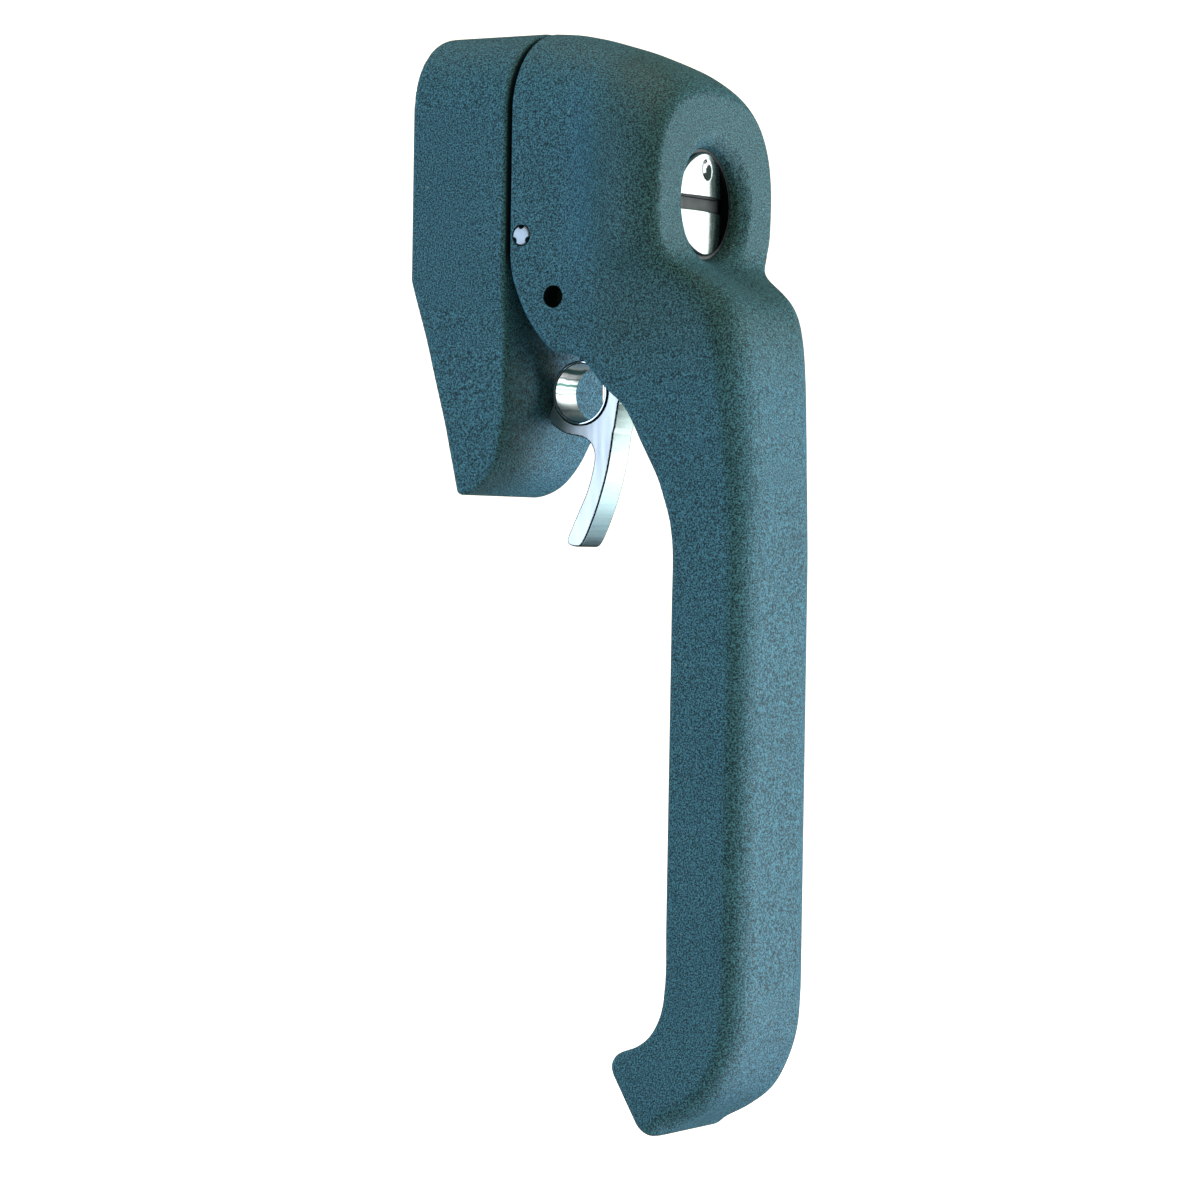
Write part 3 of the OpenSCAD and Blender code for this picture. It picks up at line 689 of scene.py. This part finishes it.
SLATE = (0.028, 0.128, 0.205)
mats = {
    "slate": coat_material("slate_coat_base", SLATE, under_head_shade=True),
    "slate_seam_and_shade": coat_material("slate_coat_handle", SLATE, seam_and_shade=True),
    "zinc": metal_material("zinc_plate", (0.62, 0.64, 0.66), 0.34, (1, 1, 1), 600, 0.10, 0.10, 0.3),
    "bright": metal_material("ground_steel", (0.82, 0.84, 0.86), 0.24, (0.25, 1, 1), 1200, 0.12, 0.06),
    # blackened steel for the retaining ring; the same near-black is painted shade on the plug's slot walls and the
    # lock sleeve
    "black": metal_material("blackened_steel_and_painted_shade", (0.045, 0.046, 0.05), 0.42, (1, 1, 1), 800, 0.10, 0.18),
    "chrome": metal_material("polished_chrome", (0.90, 0.92, 0.94), 0.07, (1, 1, 1), 500, 0.02, 0.02),
    "satin": metal_material("satin_chrome", (0.78, 0.74, 0.71), 0.35, (1, 1, 0.12), 1600, 0.10, 0.04),
    # painted reflection: the hook's edge strip runs in bands of darker and lighter tone along its height
    "edge": banded_metal("edge_chrome_painted_reflections", "Z", [(-61.5, (0.11, 0.19, 0.21)), (-57, (0.14, 0.23, 0.25)), (-52, (0.24, 0.33, 0.35)),
                                                    (-46, (0.33, 0.38, 0.39)), (-41, (0.31, 0.37, 0.38)), (-36, (0.20, 0.26, 0.26))], 0.32, (0.1, 1, 1), 1400, 0.14),
    # painted shade and painted dark reflection: near-black for the hook's edge roundings and the bush's outer face
    # beside the hook plate
    "line": metal_material("painted_shade_edge_line", (0.030, 0.034, 0.036), 0.40, (1, 1, 1), 900, 0.05, 0.10),
    # painted reflection: the bush's bore takes streaks of light and dark tone along its height
    "bore": banded_metal("bore_painted_reflections", "Z", [(-39.3, (0.03, 0.06, 0.05)), (-38.4, (0.06, 0.11, 0.11)), (-37.7, (0.30, 0.36, 0.36)),
                                               (-37.0, (0.62, 0.68, 0.70)), (-36.4, (0.40, 0.46, 0.46)), (-36.0, (0.95, 0.96, 0.97)),
                                               (-33.7, (0.95, 0.96, 0.97)), (-33.45, (0.08, 0.11, 0.10)), (-33.25, (0.60, 0.66, 0.66)),
                                               (-32.9, (0.66, 0.72, 0.72)), (-32.7, (0.20, 0.30, 0.28)), (-32.3, (0.50, 0.60, 0.58)),
                                               (-32.05, (0.04, 0.10, 0.09)), (-31.7, (0.04, 0.10, 0.09)), (-31.5, (0.55, 0.62, 0.60)),
                                               (-31.0, (0.55, 0.62, 0.60)), (-30.8, (0.05, 0.11, 0.10)), (-30.6, (0.50, 0.56, 0.55)),
                                               (-30.0, (0.60, 0.66, 0.64)), (-29.8, (0.03, 0.12, 0.11)), (-29.2, (0.03, 0.12, 0.11)),
                                               (-28.95, (0.90, 0.93, 0.93)), (-28.0, (0.70, 0.74, 0.75))],
                         0.30, (1, 1, 1), 500, 0.02),
    # painted shade and reflection: the plug's face runs from light toward -x to near-black toward +x
    "plate": banded_metal("plug_face_painted_shade", "X", [(-9.4, (0.40, 0.43, 0.43)), (-2.0, (0.34, 0.36, 0.36)), (1.4, (0.30, 0.33, 0.33)),
                                                   (3.4, (0.14, 0.19, 0.19)), (6.0, (0.05, 0.08, 0.08)), (9.4, (0.02, 0.035, 0.035))], 0.13, (1, 1, 1), 700, 0.05),
    "pin_end": metal_material("dull_pin_end", (0.46, 0.47, 0.48), 0.42, (0.25, 1, 1), 1200, 0.12, 0.06),
    "hole": metal_material("hole_shadow_black", (0.07, 0.11, 0.10), 0.60, (1, 1, 1), 800, 0.10, 0.18),
    "bronze": metal_material("sintered_bronze", (0.52, 0.36, 0.19), 0.45, (1, 1, 1), 2200, 0.25, 0.16, 0.5),
}
rub, nt, bs, co = node_mat("black_rubber_ring")
nt.links.new(ramp(nt, noise(nt, co, 900, 3.0), [(0.3, (0.018, 0.018, 0.019)), (0.7, (0.04, 0.04, 0.042))]), bs.inputs["Base Color"])
nt.links.new(maprange(nt, noise(nt, co, 500, 2.0), 0.3, 0.7, 0.62, 0.8), bs.inputs["Roughness"])
nt.links.new(bump(nt, noise(nt, co, 1600, 2.0), 0.2, 0.0001), bs.inputs["Normal"])
mats["rubber"] = rub


def dress(obj, *keys):
    obj.data.materials.clear()
    for k in keys:
        obj.data.materials.append(mats[k])


dress(handle, "slate_seam_and_shade", "hole")
for p in handle.data.polygons:
    c = p.center
    if abs(math.hypot(-c.y / MM - BD - 9.5, c.z / MM + 16.9) - 2.02) < 0.03 and abs(p.normal.x) < 0.2:
        p.material_index = 1
dress(base, "slate")
for v in base.data.vertices:
    v.co.y = min(v.co.y, 0.0)
dress(bush, "chrome", "bore", "line")
# bush faces: bore with painted reflection streaks, outer face beside the hook plate with painted near-black shade, the
# rest chrome
for p in bush.data.polygons:
    c = p.center
    q = math.hypot(-c.y / MM - BD - 7.7, c.z / MM + 33.4)
    p.material_index = 2 if abs(p.normal.x) < 0.9 and abs(c.x) > 3.3 * MM else (1 if q < 5.3 else 0)
dress(pin, "pin_end")
dress(spring, "zinc")
dress(hook, "satin", "edge", "line")
# hook faces: flat sides satin, edge strip with painted reflection bands, edge roundings with painted near-black shade
for p in hook.data.polygons:
    a = abs(p.normal.x)
    p.material_index = 0 if a > 0.93 else (2 if a > 0.35 else 1)
dress(plug, "plate", "black")
# painted shade: the walls of the plug's slot take the near-black material
for p in plug.data.polygons:
    c = p.center
    f = -c.y / MM - BD
    if f > 28.7 and abs(c.z) < 1.22 * MM and f < 31.2:
        p.material_index = 1

cad_mat = {
    "back_plate": "zinc", "back_plate_screws": "zinc", "front_bush": "bronze", "rear_bush": "bronze",
    "spindle_seal": "rubber", "thrust_washer": "bronze", "stop_pins": "bright", "spindle": "zinc", "stop_disc": "zinc",
    # painted shade: the lock sleeve's face is near-black
    "wave_washer": "bright", "retaining_ring": "black", "lock_sleeve": "black", "lock_cam": "zinc",
    "lock_cam_screw": "bright", "lock_bolt": "bright", "trigger_pivot_pin": "hole", "trigger_washers": "bronze",
}
for name, key in cad_mat.items():
    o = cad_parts[name]
    if not o.material_slots:
        continue
    for s in o.material_slots:
        s.material = mats[key]

for piece, body, slot, node in (
        (handle, "handle", "slate_coat", "handle_body"), (base, "base", "slate_coat", "base_housing"),
        (hook, "trigger", "satin_chrome", "trigger_hook"), (bush, "trigger", "polished_chrome", "eye_bush"),
        (plug, "lock", "polished_chrome", "lock_plug"), (pin, "handle", "bright_steel", "handle_cross_pin"),
        (spring, "trigger", "zinc_steel", "trigger_spring")):
    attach(piece, body)
    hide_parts(node)

# ---------------------------------------------------------------- floor, light, camera
sc = bpy.context.scene
AMBIENT = 0.54
floor_z = -0.205
verts, faces = [], []
prof = [(-2.5, floor_z), (2.2, floor_z)]
for k in range(1, 13):
    a = math.radians(90 * k / 12)
    prof.append((2.2 + 1.2 * math.sin(a), floor_z + 1.2 * (1 - math.cos(a))))
prof.append((3.4, floor_z + 4.0))
for y, z in prof:
    verts += [(-5, y, z), (5, y, z)]
faces = [(2 * i, 2 * i + 1, 2 * i + 3, 2 * i + 2) for i in range(len(prof) - 1)]
fm = bpy.data.meshes.new("floor")
fm.from_pydata(verts, [], faces)
fm.update()
for p in fm.polygons:
    p.use_smooth = True
floor = bpy.data.objects.new("floor", fm)
floor.rotation_euler[2] = math.radians(-58)
sc.collection.objects.link(floor)
flm, nt, bs, co = node_mat("pale_floor")
nt.links.new(ramp(nt, noise(nt, co, 3.0, 2.0), [(0.2, (0.93, 0.93, 0.93)), (0.8, (0.96, 0.96, 0.96))]), bs.inputs["Base Color"])
bs.inputs["Roughness"].default_value = 0.8
bs.inputs["Emission Color"].default_value = (1, 1, 1, 1)
bs.inputs["Emission Strength"].default_value = 0.9
floor.data.materials.append(flm)
floor.visible_diffuse = floor.visible_glossy = floor.visible_shadow = False

w = bpy.data.worlds.new("studio")
sc.world = w
w.use_nodes = True
wt = w.node_tree
wt.nodes.clear()
dim, clear = wt.nodes.new("ShaderNodeBackground"), wt.nodes.new("ShaderNodeBackground")
dim.inputs["Color"].default_value = (0.95, 0.70, 0.37, 1)
dim.inputs["Strength"].default_value = AMBIENT
clear.inputs["Color"].default_value = (1, 1, 1, 1)
clear.inputs["Strength"].default_value = 1.0
pick, path = wt.nodes.new("ShaderNodeMixShader"), wt.nodes.new("ShaderNodeLightPath")
wo = wt.nodes.new("ShaderNodeOutputWorld")
mirror, hall = wt.nodes.new("ShaderNodeMixShader"), wt.nodes.new("ShaderNodeBackground")
hall.inputs["Color"].default_value = (0.80, 1.0, 0.95, 1)
hall.inputs["Strength"].default_value = 0.20
wt.links.new(path.outputs["Is Glossy Ray"], mirror.inputs["Fac"])
wt.links.new(dim.outputs[0], mirror.inputs[1])
wt.links.new(hall.outputs[0], mirror.inputs[2])
wt.links.new(path.outputs["Is Camera Ray"], pick.inputs["Fac"])
wt.links.new(mirror.outputs[0], pick.inputs[1])
wt.links.new(clear.outputs[0], pick.inputs[2])
wt.links.new(pick.outputs[0], wo.inputs["Surface"])

target = Vector((0.0, -0.035, -0.065))


def area(name, loc, size, power, color=(1, 1, 1), aim=target):
    l = bpy.data.lights.new(name, "AREA")
    l.shape = "RECTANGLE"
    l.size, l.size_y = size
    l.energy = power
    l.color = color
    o = bpy.data.objects.new(name, l)
    o.location = loc
    o.rotation_euler = (aim - Vector(loc)).to_track_quat("-Z", "Y").to_euler()
    sc.collection.objects.link(o)
    return o


area("front_right", (1.061, -1.096, -0.065), (1.3, 1.3), 20.4, (0.90, 1.0, 0.93))
area("front_low", (0.795, -1.028, -0.860), (1.2, 1.2), 15.4, (0.96, 0.82, 0.92))
area("back_left", (-1.115, 0.969, -0.065), (1.4, 1.4), 13.0, (0.54, 0.73, 1.0))
area("top_soft", (0.0, 0.114, 1.428), (1.2, 1.2), 8.8, (0.95, 0.82, 0.66))

az, th, ro = math.radians(58.06), math.radians(-0.6123), math.radians(0.8752)
r = Vector((math.cos(az), -math.sin(az), 0))
n = Vector((-math.sin(az), -math.cos(az), 0))
u = Vector((0, 0, 1))
n2, u2 = n * math.cos(th) - u * math.sin(th), u * math.cos(th) + n * math.sin(th)
r3, u3 = r * math.cos(ro) + u2 * math.sin(ro), u2 * math.cos(ro) - r * math.sin(ro)
cam = bpy.data.objects.new("camera", bpy.data.cameras.new("camera"))
M = Matrix((r3, u3, n2)).transposed().to_4x4()
M.translation = Vector((-0.62104, -0.41813, -0.06285))
cam.matrix_world = M
cam.data.lens = 121.67
cam.data.sensor_width = 36.0
cam.data.clip_start, cam.data.clip_end = 0.02, 20
sc.collection.objects.link(cam)
sc.camera = cam
sc.view_settings.view_transform = "Standard"
